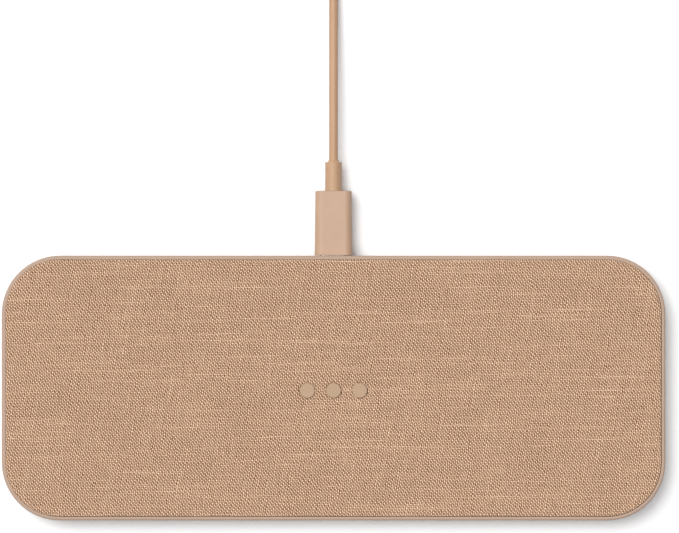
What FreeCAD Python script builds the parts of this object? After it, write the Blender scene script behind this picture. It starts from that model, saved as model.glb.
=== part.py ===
"""Two-device wireless charging pad with its USB-C lead.

The pad lies flat: +X runs along its length, +Y points to the back, where the
lead plugs in, and +Z is up. The origin is under the middle of the pad, on the
surface that it stands on. All sizes are in millimetres.
"""
import FreeCAD, Part
import math
import os
import Sketcher

Vector = FreeCAD.Vector

# Driving dimensions: alias, value, what it measures.
SIZES = [
    ("pad_length", 198.0, "outside length of the housing"),
    ("pad_depth", 79.0, "outside depth of the housing"),
    ("corner_radius", 17.4, "outside corner radius in plan"),
    ("base_z", 0.5, "underside of housing and cover above the surface"),
    ("rim_top_z", 9.4, "top of the rim"),
    ("rim_width", 1.15, "rim seen from above"),
    ("rim_outer_round", 0.6, "outer edge of the rim"),
    ("rim_inner_round", 0.12, "inner edge of the rim"),
    ("base_round", 1.0, "lower edge of the housing"),
    ("wall", 1.8, "side wall thickness"),
    ("ledge_width", 4.6, "wall and ledge together"),
    ("ledge_top_z", 7.2, "face that the top panel rests on"),
    ("ledge_bottom_z", 6.5, "underside of that ledge"),
    ("cover_gap", 0.15, "gap between the bottom cover and the wall"),
    ("cover_top_z", 1.8, "inside face of the bottom cover"),
    ("foot_inset", 6.0, "foot sheet edge in from the housing edge"),
    ("foot_top_z", 1.0, "top of the foot sheet, in the cover's recess"),
    ("foot_round", 0.3, "lower edge of the foot sheet"),
    ("panel_gap", 0.15, "seam between the rim and the linen"),
    ("linen_thick", 0.5, "linen with its glue film"),
    ("linen_top_z", 9.7, "top of the linen"),
    ("linen_roll", 0.3, "bend of the linen at its top and lower edges"),
    ("hem_width", 4.0, "linen turned under the top plate"),
    ("foam_thick", 0.4, "foam backing under the linen"),
    ("stud_diameter", 4.5, "marker stud"),
    ("stud_pitch", 7.8, "spacing of the marker studs"),
    ("stud_row_y", -0.7, "place of the row of studs, front to back"),
    ("stud_top_z", 10.1, "top of the marker studs"),
    ("stud_round", 0.2, "top edge of a stud"),
    ("stud_clearance", 0.1, "stud hole wider than the stud"),
    ("stud_web_z", 6.9, "underside of the web that joins the studs"),
    ("stud_web_margin", 2.0, "web beyond the studs, all round"),
    ("coil_site_x", 50.0, "centre of each charging site from the middle"),
    ("coil_outer", 43.0, "outside diameter of a charging coil"),
    ("coil_inner", 20.5, "inside diameter of a charging coil"),
    ("coil_thick", 0.9, "charging coil with its tape"),
    ("ferrite_side", 52.0, "side of the square ferrite tile"),
    ("ferrite_thick", 0.9, "ferrite tile"),
    ("shield_thick", 0.5, "aluminium shield plate"),
    ("thermistor_length", 2.4, "temperature sensor in the middle of a coil"),
    ("thermistor_width", 1.6, "temperature sensor"),
    ("thermistor_thick", 0.7, "temperature sensor"),
    ("wire_diameter", 0.7, "insulated wire from a coil to the board"),
    ("wire_spread", 3.0, "coil wires from the axis"),
    ("wire_on_board", 2.5, "coil wire in from the board's edge"),
    ("post_spread", 20.0, "shield posts from the middle of a site"),
    ("post_diameter", 5.0, "shield post"),
    ("screw_shank", 2.0, "thread diameter of every screw"),
    ("screw_head", 3.6, "head diameter of every screw"),
    ("head_height", 0.8, "head thickness of every screw"),
    ("head_recess", 0.9, "depth of the cover's holes for screw heads"),
    ("head_clearance", 0.3, "head hole wider than the head"),
    ("shank_clearance", 0.2, "clearance hole wider than a thread"),
    ("cover_screw_length", 4.2, "cover screw under its head"),
    ("board_screw_length", 1.9, "board screw under its head"),
    ("board_thread_depth", 1.0, "threaded hole in a board standoff"),
    ("thread_floor", 0.3, "plastic left over the end of a threaded hole"),
    ("boss_diameter", 5.5, "screw boss"),
    ("side_screw_x", 27.0, "screws near the middle, along the length"),
    ("side_screw_y", 33.5, "screws near the middle, from the axis"),
    ("corner_screw_reach", 12.3, "corner screw from its corner's centre"),
    ("seat_z", 2.6, "top of the cover's screw seats"),
    ("board_length", 44.0, "circuit board along X"),
    ("board_front_y", -25.0, "front edge of the circuit board"),
    ("board_back_y", 37.3, "back edge of the circuit board"),
    ("board_bottom_z", 2.3, "underside of the circuit board"),
    ("board_thick", 1.0, "circuit board"),
    ("board_corner", 1.5, "corner radius of the board"),
    ("board_screw_x", 18.5, "board screws from the middle"),
    ("board_screw_front", 4.0, "front screws in from the board's edge"),
    ("board_screw_back", 12.0, "back screws in from the board's edge"),
    ("port_z", 4.9, "centre of the USB-C port"),
    ("port_mouth_y", 39.2, "mouth of the USB-C receptacle"),
    ("port_width", 8.34, "receptacle opening, wide"),
    ("port_height", 2.56, "receptacle opening, high"),
    ("port_wall", 0.3, "receptacle shell wall"),
    ("port_depth", 7.3, "receptacle, mouth to back"),
    ("port_clearance", 0.2, "gap round the receptacle in the wall"),
    ("port_back", 0.6, "block behind the tongue"),
    ("tongue_width", 6.69, "receptacle tongue"),
    ("tongue_thick", 0.7, "receptacle tongue"),
    ("tongue_setback", 0.9, "end of the tongue behind the mouth"),
    ("leg_width", 1.0, "board leg of the receptacle"),
    ("leg_room", 0.2, "slot for a leg wider than the leg"),
    ("plug_width", 8.25, "plug shell, wide"),
    ("plug_height", 2.4, "plug shell, high"),
    ("plug_wall", 0.25, "plug shell wall"),
    ("plug_reach", 6.65, "plug shell in front of the overmould"),
    ("plug_root", 3.0, "plug shell inside the overmould"),
    ("core_setback", 0.1, "insulator behind each end of the shell"),
    ("slot_room", 0.25, "slot for the tongue wider than the tongue"),
    ("card_length", 8.0, "board inside a plug"),
    ("card_width", 7.0, "board inside a plug"),
    ("card_thick", 0.8, "board inside a plug"),
    ("card_room", 0.1, "space round the board, each side"),
    ("card_depth_room", 0.4, "space above and below the board"),
    ("grip_width", 11.3, "plug overmould, wide"),
    ("grip_height", 5.5, "plug overmould, high"),
    ("grip_length", 19.3, "plug overmould, long"),
    ("grip_corner", 2.2, "corner radius of the overmould's section"),
    ("grip_taper", 0.6, "draft of the overmould, in degrees"),
    ("grip_front_round", 0.12, "front edge of the overmould"),
    ("grip_back_round", 0.3, "back edge of the overmould"),
    ("grip_gap", 0.1, "overmould to housing when plugged in"),
    ("relief_diameter", 5.0, "strain relief"),
    ("relief_length", 9.3, "strain relief with its nose"),
    ("relief_round", 0.2, "back edge of the strain relief"),
    ("nose_diameter", 3.5, "nose of the strain relief, where it starts"),
    ("nose_length", 0.7, "nose of the strain relief"),
    ("nose_taper", 30.0, "slope of the nose, in degrees"),
    ("cable_diameter", 2.65, "lead"),
    ("turn_pitch", 2.7, "coiled turns, centre to centre"),
    ("coil_middle", 15.1, "radius at the middle of the coiled turns"),
    ("coil_centre_y", 146.0, "centre of the coiled lead"),
    ("tie_thick", 0.5, "tie band round the coiled lead"),
    ("tie_width", 6.0, "tie band"),
    ("light_x", 15.0, "indicator lights from the middle"),
    ("light_diameter", 2.0, "light pipe"),
    ("light_z", 4.1, "height of the light pipes"),
    ("light_room", 0.1, "light hole wider than the pipe"),
    ("light_gap", 0.2, "light pipe to its light"),
]

# Heights that follow from the stack under the linen.
PLATE_Z = "( ledge_top_z + linen_thick )"
PLATE_TOP = "( linen_top_z - linen_thick - foam_thick )"
COIL_Z = "( %s - coil_thick )" % PLATE_Z
FERRITE_Z = "( %s - ferrite_thick )" % COIL_Z
SHIELD_Z = "( %s - shield_thick )" % FERRITE_Z
BOARD_TOP = "( board_bottom_z + board_thick )"

# Section of the coiled lead: six turns on the surface and five above them.
COIL_WIDTH = "( 5 * turn_pitch + cable_diameter )"
COIL_HEIGHT = "( turn_pitch * 0.866 + cable_diameter )"

# The straight run of the lead: distance behind the strain relief, and the share
# of the drop from the plug's axis to the coil's lower turns.
RUN_SAG = [(0.0, 0.0), (9.0, 0.0), (25.0, 0.11), (42.0, 0.48), (58.0, 0.90)]

# The tail leaves over the coil: degrees round it, distance outside the outer
# turn's middle, and height above the lower turns' middle.
TAIL_WRAP = [(0, 1.6, 2.4), (30, 3.0, 1.1), (60, 3.5, 0.0), (90, 3.5, -0.4)]

# Then it runs to the far plug: steps along -X and -Y from the end of the wrap.
TAIL_STEPS = [(13.0, 0.4), (25.0, 2.6), (36.0, 6.2)]

# Parts soldered on the board: length, width, height and the places of each kind.
BOARD_PARTS = {
    "charging_controllers": (7.0, 7.0, 0.9, [(-12.5, 6.0), (12.5, 6.0)]),
    "power_delivery_chip": (4.0, 4.0, 0.8, [(-11.0, 26.0)]),
    "bridge_transistors": (3.3, 3.3, 0.9, [(x, y) for x in (-12.0, -7.0, 7.0, 12.0) for y in (-4.0, -9.0)]),
    "resonant_capacitors": (5.7, 5.0, 2.5, [(x, -16.0) for x in (-12.0, -5.0, 5.0, 12.0)]),
    "input_capacitors": (3.2, 2.5, 1.8, [(x, 20.0) for x in (-14.0, -9.5, -5.0)]),
    "power_inductor": (7.0, 7.0, 3.0, [(8.0, 18.0)]),
    "clock_crystal": (3.2, 2.5, 0.8, [(0.0, 6.0)]),
    "status_leds": (2.0, 1.4, 1.6, [(-15.0, -24.0), (15.0, -24.0)]),
}

doc = FreeCAD.newDocument("charging_pad")
sheet = doc.addObject("Spreadsheet::Sheet", "Sizes")
nodes = []


def fill_sheet():
    """Write the driving dimensions and their aliases into the spreadsheet."""
    for row, (alias, value, note) in enumerate(SIZES, start=1):
        sheet.set("A%d" % row, note)
        sheet.set("B%d" % row, str(value))
        sheet.setAlias("B%d" % row, alias)
    doc.recompute()


def size(alias):
    """Value of one driving dimension."""
    return float(sheet.get(alias))


def value_of(expression):
    """Number that an expression of the sheet's cells gives."""
    return float(sheet.evalExpression(expression))


def bind(item, **expressions):
    """Drive properties of an object from the sheet; a double underscore is a dot."""
    for name, expression in expressions.items():
        item.setExpression(name.replace("__", "."), expression)


def cells(text):
    """Expression of short aliases, written with the sheet's name on each."""
    words = {alias for alias, _, _ in SIZES}
    out = []
    for token in text.replace("(", " ( ").replace(")", " ) ").split():
        out.append("Sizes." + token if token in words else token)
    return " ".join(out)


def keep(item, label):
    """Give a finished object its node name."""
    item.Label = label
    nodes.append(item)
    return item


# ---- sketches and features -------------------------------------------------

def new_body(name):
    """Empty body that the next sketches and features build up."""
    return doc.addObject("PartDesign::Body", name)


def sketch_on(body, role, name, offset="0"):
    """Sketch on one of the body's origin planes, moved along its normal."""
    sketch = body.newObject("Sketcher::SketchObject", name)
    plane = next(f for f in body.Origin.OriginFeatures if f.Role == role)
    sketch.AttachmentSupport = [(plane, "")]
    sketch.MapMode = "FlatFace"
    bind(sketch, AttachmentOffset__Base__z=cells(offset))
    return sketch


def named(sketch, constraint, name, expression):
    """Add a driving constraint and bind it to the sheet."""
    index = sketch.addConstraint(constraint)
    sketch.renameConstraint(index, name)
    sketch.setExpression("Constraints." + name, cells(expression))


def rounded_rectangle(sketch, key, width, height, radius, centre=("0", "0")):
    """Closed rounded rectangle; each size is an expression of aliases."""
    w, d, r = value_of(cells(width)) / 2, value_of(cells(height)) / 2, value_of(cells(radius))
    cx, cy = value_of(cells(centre[0])), value_of(cells(centre[1]))
    corners = [(1, 1, 0), (-1, 1, 90), (-1, -1, 180), (1, -1, 270)]
    arcs = []
    for sx, sy, start in corners:
        middle = Vector(cx + sx * (w - r), cy + sy * (d - r), 0)
        circle = Part.Circle(middle, Vector(0, 0, 1), r)
        first, last = math.radians(start), math.radians(start + 90)
        arcs.append(sketch.addGeometry(Part.ArcOfCircle(circle, first, last)))
    lines = []
    for i in range(4):
        a, b = sketch.Geometry[arcs[i]], sketch.Geometry[arcs[(i + 1) % 4]]
        line = sketch.addGeometry(Part.LineSegment(a.EndPoint, b.StartPoint))
        sketch.addConstraint(Sketcher.Constraint("Tangent", arcs[i], 2, line, 1))
        sketch.addConstraint(Sketcher.Constraint("Tangent", line, 2, arcs[(i + 1) % 4], 1))
        lines.append(line)
    for line, kind in zip(lines, ("Horizontal", "Vertical", "Horizontal", "Vertical")):
        sketch.addConstraint(Sketcher.Constraint(kind, line))
    for arc in arcs[1:]:
        sketch.addConstraint(Sketcher.Constraint("Equal", arcs[0], arc))
    named(sketch, Sketcher.Constraint("Radius", arcs[0], r), key + "_radius", radius)
    place = [("DistanceX", w - r, centre[0], width), ("DistanceY", d - r, centre[1], height)]
    for kind, half, middle, full in place:
        axis = kind[-1].lower()
        far = getattr(sketch.Geometry[arcs[0]].Center, axis)
        near = getattr(sketch.Geometry[arcs[2]].Center, axis)
        for arc, side, at in ((arcs[0], "plus", far), (arcs[2], "minus", near)):
            if abs(at) < 1e-6:
                sign = Sketcher.Constraint("PointOnObject", arc, 3, -2 if axis == "x" else -1)
                sketch.addConstraint(sign)
                continue
            offset = "( %s ) / 2 - ( %s )" % (full, radius)
            total = "( %s ) %s ( %s )" % (middle, "+" if side == "plus" else "-", offset)
            name = "%s_%s_%s" % (key, axis, side)
            named(sketch, Sketcher.Constraint(kind, -1, 1, arc, 3, at), name, total)


def stadium(sketch, key, width, height, centre_z):
    """Closed slot outline with round ends, centred on the sketch's vertical axis."""
    w, r, z = value_of(cells(width)) / 2, value_of(cells(height)) / 2, value_of(cells(centre_z))
    axis = Vector(0, 0, 1)
    right = Part.ArcOfCircle(Part.Circle(Vector(w - r, z, 0), axis, r), -math.pi / 2, math.pi / 2)
    left = Part.ArcOfCircle(Part.Circle(Vector(r - w, z, 0), axis, r), math.pi / 2, 1.5 * math.pi)
    right, left = sketch.addGeometry(right), sketch.addGeometry(left)
    a, b = sketch.Geometry[right], sketch.Geometry[left]
    top = sketch.addGeometry(Part.LineSegment(a.EndPoint, b.StartPoint))
    low = sketch.addGeometry(Part.LineSegment(b.EndPoint, a.StartPoint))
    ends = ((right, 2, top, 1), (top, 2, left, 1), (left, 2, low, 1), (low, 2, right, 1))
    for end in ends:
        sketch.addConstraint(Sketcher.Constraint("Tangent", *end))
    sketch.addConstraint(Sketcher.Constraint("Equal", right, left))
    sketch.addConstraint(Sketcher.Constraint("Horizontal", top))
    named(sketch, Sketcher.Constraint("Radius", right, r), key + "_radius", "( %s ) / 2" % height)
    reach = "( ( %s ) - ( %s ) ) / 2" % (width, height)
    named(sketch, Sketcher.Constraint("DistanceX", -1, 1, right, 3, w - r), key + "_right", reach)
    named(sketch, Sketcher.Constraint("DistanceX", left, 3, -1, 1, w - r), key + "_left", reach)
    if abs(z) > 1e-6:
        named(sketch, Sketcher.Constraint("DistanceY", -1, 1, right, 3, z), key + "_z", centre_z)
    else:
        sketch.addConstraint(Sketcher.Constraint("PointOnObject", right, 3, -1))


def circles(sketch, key, diameter, centres):
    """Equal circles at points given by pairs of expressions."""
    radius = value_of(cells(diameter)) / 2
    for i, (x, y) in enumerate(centres):
        px, py = value_of(cells(x)), value_of(cells(y))
        ring = sketch.addGeometry(Part.Circle(Vector(px, py, 0), Vector(0, 0, 1), radius))
        if i == 0:
            first = ring
            named(sketch, Sketcher.Constraint("Diameter", ring, 2 * radius), key + "_size", diameter)
        else:
            sketch.addConstraint(Sketcher.Constraint("Equal", first, ring))
        for kind, at, expression, line in (("X", px, x, -2), ("Y", py, y, -1)):
            name = "%s_%s%d" % (key, kind.lower(), i)
            if abs(at) < 1e-6:
                sketch.addConstraint(Sketcher.Constraint("PointOnObject", ring, 3, line))
            else:
                rule = Sketcher.Constraint("Distance" + kind, -1, 1, ring, 3, at)
                named(sketch, rule, name, expression)


def extrude(body, kind, sketch, length, reverse=False):
    """Pad or Pocket of a sketch; the change in volume must have the right sign."""
    before = body.Shape.Volume if not body.Shape.isNull() else 0.0
    feature = body.newObject("PartDesign::" + kind, sketch.Name + kind)
    feature.Profile = sketch
    feature.Reversed = reverse
    bind(feature, Length=cells(length))
    doc.recompute()
    change = body.Shape.Volume - before
    if (change > 0.01) != (kind == "Pad") or abs(change) < 0.01:
        raise RuntimeError("%s of %s changed %.3f mm3" % (kind, sketch.Name, change))
    return feature


def edge_names(shape, test):
    """Names of the edges that pass a test."""
    return ["Edge%d" % (i + 1) for i, edge in enumerate(shape.Edges) if test(edge)]


def flat_at(edge, height):
    """True for an edge that lies level at a height."""
    box = edge.BoundBox
    return abs(box.ZMin - height) < 1e-4 and abs(box.ZMax - height) < 1e-4


def on_outline(edge, inset):
    """True for an edge on the housing's outline moved in by an inset."""
    half_x, half_y = size("pad_length") / 2 - inset, size("pad_depth") / 2 - inset
    box = edge.BoundBox
    reach_x = max(abs(box.XMin), abs(box.XMax))
    reach_y = max(abs(box.YMin), abs(box.YMax))
    return abs(reach_x - half_x) < 0.02 or abs(reach_y - half_y) < 0.02


def round_edges(body, alias, test, prefix=""):
    """Fillet the edges that pass a test; the alias of the radius names the feature."""
    base = body.Tip
    names = edge_names(base.Shape, test)
    if not names:
        raise RuntimeError("no edges for " + alias)
    feature = body.newObject("PartDesign::Fillet", prefix + alias)
    feature.Base = (base, names)
    bind(feature, Radius=cells(alias))
    doc.recompute()


# ---- Part primitives -------------------------------------------------------

def block(label, length, width, height, x, y, z):
    """Box centred on x and y, standing on z; every size is an expression."""
    item = doc.addObject("Part::Box", label)
    bind(item, Length=cells(length), Width=cells(width), Height=cells(height))
    bind(item, Placement__Base__x=cells("( %s ) - ( %s ) / 2" % (x, length)))
    bind(item, Placement__Base__y=cells("( %s ) - ( %s ) / 2" % (y, width)))
    bind(item, Placement__Base__z=cells(z))
    return item


def group(label, items):
    """Several separate solids kept as one node."""
    item = doc.addObject("Part::Compound", label)
    item.Links = items
    return keep(item, label)


def copies(item, label, places):
    """Linked copies of one object, each at x, y, z given as expressions."""
    links = []
    for i, (x, y, z) in enumerate(places):
        link = doc.addObject("App::Link", "%s_copy_%d" % (label, i))
        link.LinkedObject = item
        bind(link, Placement__Base__x=cells(x), Placement__Base__y=cells(y), Placement__Base__z=cells(z))
        links.append(link)
    return group(label, links)


def turn_angle(a, b, c):
    """Turn of the route at b, in radians."""
    return (b - a).getAngle(c - b)


def tube_path(points, print_label=None):
    """Straight runs joined by tangent arcs, as large as the runs allow."""
    edges, here, radii = [], points[0], []
    for a, b, c in zip(points, points[1:], points[2:]):
        half = turn_angle(a, b, c) / 2
        cut = 0.45 * min((b - a).Length, (c - b).Length)
        back, ahead = (a - b).normalize(), (c - b).normalize()
        start, end = b + back * cut, b + ahead * cut
        radius = cut / math.tan(half)
        inward = (back + ahead).normalize()
        middle = b + inward * (radius / math.cos(half) - radius)
        edges.append(Part.LineSegment(here, start).toShape())
        edges.append(Part.Arc(start, middle, end).toShape())
        radii.append(radius)
        here = end
    edges.append(Part.LineSegment(here, points[-1]).toShape())
    if print_label:
        print(print_label, "bend radii", ["%.0f" % r for r in radii])
    return Part.Wire(edges)


def tube(label, points, diameter, report=False):
    """Round solid along a route; its volume is compared with section x length."""
    path = tube_path(points, label if report else None)
    direction = (points[1] - points[0]).normalize()
    section = Part.Wire([Part.Circle(points[0], direction, diameter / 2).toShape()])
    solid = path.makePipeShell([section], True, False)
    expected = math.pi * diameter ** 2 / 4 * path.Length
    if abs(solid.Volume - expected) > 0.01 * expected:
        raise RuntimeError("%s volume %.2f, expected %.2f" % (label, solid.Volume, expected))
    if report:
        print(label, "length %.1f" % path.Length)
    item = doc.addObject("Part::Feature", label)
    item.Shape = solid
    return item


# ---- housing ---------------------------------------------------------------

def screw_places():
    """Centres of the eight cover screws, as pairs of expressions."""
    corner_x = "pad_length / 2 - corner_radius + corner_screw_reach * 0.7071"
    corner_y = "pad_depth / 2 - corner_radius + corner_screw_reach * 0.7071"
    pairs = []
    for x, y in ((corner_x, corner_y), ("side_screw_x", "side_screw_y")):
        for sx, sy in ((1, 1), (-1, 1), (-1, -1), (1, -1)):
            pairs.append(("%d * ( %s )" % (sx, x), "%d * ( %s )" % (sy, y)))
    return pairs


def board_screw_places():
    """Centres of the four board screws, as pairs of expressions."""
    front, back = "board_front_y + board_screw_front", "board_back_y - board_screw_back"
    return [(x, y) for x in ("board_screw_x", "0 - board_screw_x") for y in (front, back)]


def inset_outline(sketch, key, inset):
    """The housing's outline moved in by an inset."""
    width, height = "pad_length - 2 * ( %s )" % inset, "pad_depth - 2 * ( %s )" % inset
    rounded_rectangle(sketch, key, width, height, "corner_radius - ( %s )" % inset)


def make_housing():
    """Side frame with the visible rim, the panel's ledge and the screw bosses."""
    body = new_body("housing_frame")
    outline = sketch_on(body, "XY_Plane", "frame_outline", "base_z")
    inset_outline(outline, "outline", "0")
    extrude(body, "Pad", outline, "rim_top_z - base_z")
    opening = sketch_on(body, "XY_Plane", "panel_opening", "rim_top_z")
    inset_outline(opening, "opening", "rim_width")
    extrude(body, "Pocket", opening, "rim_top_z - ledge_top_z")
    inside = sketch_on(body, "XY_Plane", "ledge_opening", "ledge_top_z")
    inset_outline(inside, "inside", "ledge_width")
    extrude(body, "Pocket", inside, "ledge_top_z - ledge_bottom_z")
    cavity = sketch_on(body, "XY_Plane", "wall_inside", "base_z")
    inset_outline(cavity, "cavity", "wall")
    extrude(body, "Pocket", cavity, "ledge_bottom_z - base_z", reverse=True)
    bosses = sketch_on(body, "XY_Plane", "screw_bosses", "seat_z")
    circles(bosses, "boss", "boss_diameter", screw_places())
    extrude(body, "Pad", bosses, "ledge_top_z - seat_z")
    threads = sketch_on(body, "XY_Plane", "screw_threads", "seat_z")
    circles(threads, "thread", "screw_shank", screw_places())
    extrude(body, "Pocket", threads, "ledge_bottom_z - seat_z - thread_floor", reverse=True)
    port = sketch_on(body, "XZ_Plane", "port_cut", "0 - pad_depth / 2 - 1")
    around = "2 * ( port_wall + port_clearance )"
    stadium(port, "port", "port_width + " + around, "port_height + " + around, "port_z")
    extrude(body, "Pocket", port, "wall + 2", reverse=True)
    lights = sketch_on(body, "XZ_Plane", "light_holes", "pad_depth / 2 + 1")
    circles(lights, "light", "light_diameter + light_room",
            [("light_x", "light_z"), ("0 - light_x", "light_z")])
    extrude(body, "Pocket", lights, "wall + 2")
    rim, base, seam = size("rim_top_z"), size("base_z"), size("rim_width")
    round_edges(body, "rim_outer_round", lambda e: flat_at(e, rim) and on_outline(e, 0))
    round_edges(body, "rim_inner_round", lambda e: flat_at(e, rim) and on_outline(e, seam))
    round_edges(body, "base_round", lambda e: flat_at(e, base) and on_outline(e, 0))
    keep(body, "housing_frame")


def make_bottom_cover():
    """Closing plate with the foot recess, screw seats, shield posts and standoffs."""
    body = new_body("bottom_cover")
    outline = sketch_on(body, "XY_Plane", "cover_outline", "base_z")
    inset_outline(outline, "outline", "wall + cover_gap")
    extrude(body, "Pad", outline, "cover_top_z - base_z")
    recess = sketch_on(body, "XY_Plane", "foot_recess", "base_z")
    inset_outline(recess, "recess", "foot_inset - cover_gap")
    extrude(body, "Pocket", recess, "foot_top_z - base_z", reverse=True)
    seats = sketch_on(body, "XY_Plane", "screw_seats", "foot_top_z")
    circles(seats, "seat", "boss_diameter", screw_places())
    extrude(body, "Pad", seats, "seat_z - foot_top_z")
    standoffs = sketch_on(body, "XY_Plane", "board_standoffs", "foot_top_z")
    circles(standoffs, "standoff", "boss_diameter - 1", board_screw_places())
    extrude(body, "Pad", standoffs, "board_bottom_z - foot_top_z")
    posts = sketch_on(body, "XY_Plane", "shield_posts", "foot_top_z")
    spread = [("%d * coil_site_x + %d * post_spread" % (side, along), "%d * post_spread" % across)
              for side in (-1, 1) for along in (-1, 1) for across in (-1, 1)]
    circles(posts, "post", "post_diameter", spread)
    extrude(body, "Pad", posts, "%s - foot_top_z" % SHIELD_Z)
    heads = sketch_on(body, "XY_Plane", "screw_heads", "foot_top_z")
    circles(heads, "head", "screw_head + head_clearance", screw_places())
    extrude(body, "Pocket", heads, "head_recess", reverse=True)
    shanks = sketch_on(body, "XY_Plane", "screw_clearance", "foot_top_z")
    circles(shanks, "shank", "screw_shank + shank_clearance", screw_places())
    extrude(body, "Pocket", shanks, "seat_z - foot_top_z", reverse=True)
    threads = sketch_on(body, "XY_Plane", "board_threads", "board_bottom_z")
    circles(threads, "thread", "screw_shank", board_screw_places())
    extrude(body, "Pocket", threads, "board_thread_depth")
    keep(body, "bottom_cover")


def make_foot_sheet():
    """Grippy sheet that the pad stands on."""
    body = new_body("foot_sheet")
    outline = sketch_on(body, "XY_Plane", "foot_outline")
    inset_outline(outline, "outline", "foot_inset")
    extrude(body, "Pad", outline, "foot_top_z")
    round_edges(body, "foot_round", lambda e: flat_at(e, 0.0))
    keep(body, "foot_sheet")


def make_screw(label, shank_length, places, head_up):
    """Pan-head screw, its origin under the head, and its copies."""
    body = new_body(label + "_shape")
    head = sketch_on(body, "XY_Plane", label + "_head")
    circles(head, "head", "screw_head", [("0", "0")])
    extrude(body, "Pad", head, "head_height", reverse=not head_up)
    shank = sketch_on(body, "XY_Plane", label + "_shank")
    circles(shank, "shank", "screw_shank", [("0", "0")])
    extrude(body, "Pad", shank, shank_length, reverse=head_up)
    long, short = "screw_head * 0.55", "screw_head * 0.16"
    for arm, width, height in (("wide", long, short), ("tall", short, long)):
        offset = "head_height" if head_up else "0 - head_height"
        recess = sketch_on(body, "XY_Plane", label + "_recess_" + arm, offset)
        rounded_rectangle(recess, "recess", width, height, "screw_head * 0.05")
        extrude(body, "Pocket", recess, "head_height / 2", reverse=not head_up)
    return copies(body, label, places)


# ---- top panel -------------------------------------------------------------

def stud_places():
    """Centres of the three marker studs."""
    return [("%d * stud_pitch" % i, "stud_row_y") for i in (-1, 0, 1)]


def panel_outline(sketch, key, inset):
    """The top panel's outline: inside the rim and its seam, moved in by an inset."""
    inset_outline(sketch, key, "rim_width + panel_gap + %s" % inset)


def make_linen_cover():
    """Linen wrapped over the foam and plate and turned under the plate's edge."""
    body = new_body("linen_cover")
    outline = sketch_on(body, "XY_Plane", "linen_outline", "ledge_top_z")
    panel_outline(outline, "outline", "0")
    extrude(body, "Pad", outline, "linen_top_z - ledge_top_z")
    hollow = sketch_on(body, "XY_Plane", "linen_hollow", PLATE_Z)
    panel_outline(hollow, "hollow", "linen_thick")
    extrude(body, "Pocket", hollow, "linen_top_z - linen_thick - %s" % PLATE_Z, reverse=True)
    under = sketch_on(body, "XY_Plane", "hem_opening", "ledge_top_z")
    panel_outline(under, "under", "hem_width")
    extrude(body, "Pocket", under, "linen_thick", reverse=True)
    holes = sketch_on(body, "XY_Plane", "linen_stud_holes", "linen_top_z")
    circles(holes, "hole", "stud_diameter + stud_clearance", stud_places())
    extrude(body, "Pocket", holes, "linen_thick")
    top, low = size("linen_top_z"), size("ledge_top_z")
    seam = size("rim_width") + size("panel_gap")
    round_edges(body, "linen_roll", lambda e: flat_at(e, top) and on_outline(e, seam), "top_")
    round_edges(body, "linen_roll", lambda e: flat_at(e, low) and on_outline(e, seam), "lower_")
    keep(body, "linen_cover")


def make_sheet_with_studs(label, inset, bottom, thick):
    """Flat sheet inside the linen with three holes for the studs."""
    body = new_body(label)
    outline = sketch_on(body, "XY_Plane", label + "_outline", bottom)
    panel_outline(outline, "outline", inset)
    extrude(body, "Pad", outline, thick)
    holes = sketch_on(body, "XY_Plane", label + "_holes", bottom)
    circles(holes, "hole", "stud_diameter + stud_clearance", stud_places())
    extrude(body, "Pocket", holes, thick, reverse=True)
    keep(body, label)


def make_marker_studs():
    """Silicone insert: three studs on a web that sits under the top plate."""
    body = new_body("marker_studs")
    web = sketch_on(body, "XY_Plane", "stud_web", "stud_web_z")
    across = "stud_diameter + 2 * stud_web_margin"
    rounded_rectangle(web, "web", "2 * stud_pitch + " + across, across, "stud_web_margin",
                      ("0", "stud_row_y"))
    extrude(body, "Pad", web, "%s - stud_web_z" % PLATE_Z)
    studs = sketch_on(body, "XY_Plane", "stud_circles", PLATE_Z)
    circles(studs, "stud", "stud_diameter", stud_places())
    extrude(body, "Pad", studs, "stud_top_z - %s" % PLATE_Z)
    top = size("stud_top_z")
    round_edges(body, "stud_round", lambda e: flat_at(e, top))
    keep(body, "marker_studs")


# ---- charging sites --------------------------------------------------------

def make_site(side, name):
    """Coil, ferrite, shield plate, thermistor and coil leads of one site."""
    centre = "%d * coil_site_x" % side
    coil = new_body("coil_" + name)
    ring = sketch_on(coil, "XY_Plane", "coil_ring_" + name, COIL_Z)
    circles(ring, "outer", "coil_outer", [(centre, "0")])
    extrude(coil, "Pad", ring, "coil_thick")
    hole = sketch_on(coil, "XY_Plane", "coil_hole_" + name, COIL_Z)
    circles(hole, "inner", "coil_inner", [(centre, "0")])
    extrude(coil, "Pocket", hole, "coil_thick", reverse=True)
    keep(coil, "coil_" + name)
    tile = block("ferrite_" + name, "ferrite_side", "ferrite_side", "ferrite_thick", centre, "0", FERRITE_Z)
    keep(tile, "ferrite_" + name)
    plate = block("shield_" + name, "ferrite_side", "ferrite_side", "shield_thick", centre, "0", SHIELD_Z)
    keep(plate, "shield_" + name)
    bead = block("thermistor_" + name, "thermistor_length", "thermistor_width", "thermistor_thick",
                 centre, "0", COIL_Z)
    keep(bead, "thermistor_" + name)
    half = size("wire_diameter") / 2
    top_z = value_of(cells(COIL_Z)) + size("coil_thick") / 2
    low_z = value_of(cells(BOARD_TOP)) + half
    start_x = side * (size("coil_site_x") - size("coil_outer") / 2)
    edge_x = side * size("board_length") / 2
    end_x = edge_x - side * size("wire_on_board")
    leads = []
    for along in (-1, 1):
        y = along * size("wire_spread")
        route = [Vector(start_x, y, top_z), Vector(edge_x, y, top_z),
                 Vector(edge_x - 2 * side * half, y, low_z), Vector(end_x, y, low_z)]
        leads.append(tube("coil_lead_%s_%d" % (name, along), route, size("wire_diameter")))
    group("coil_leads_" + name, leads)


# ---- electronics -----------------------------------------------------------

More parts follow.
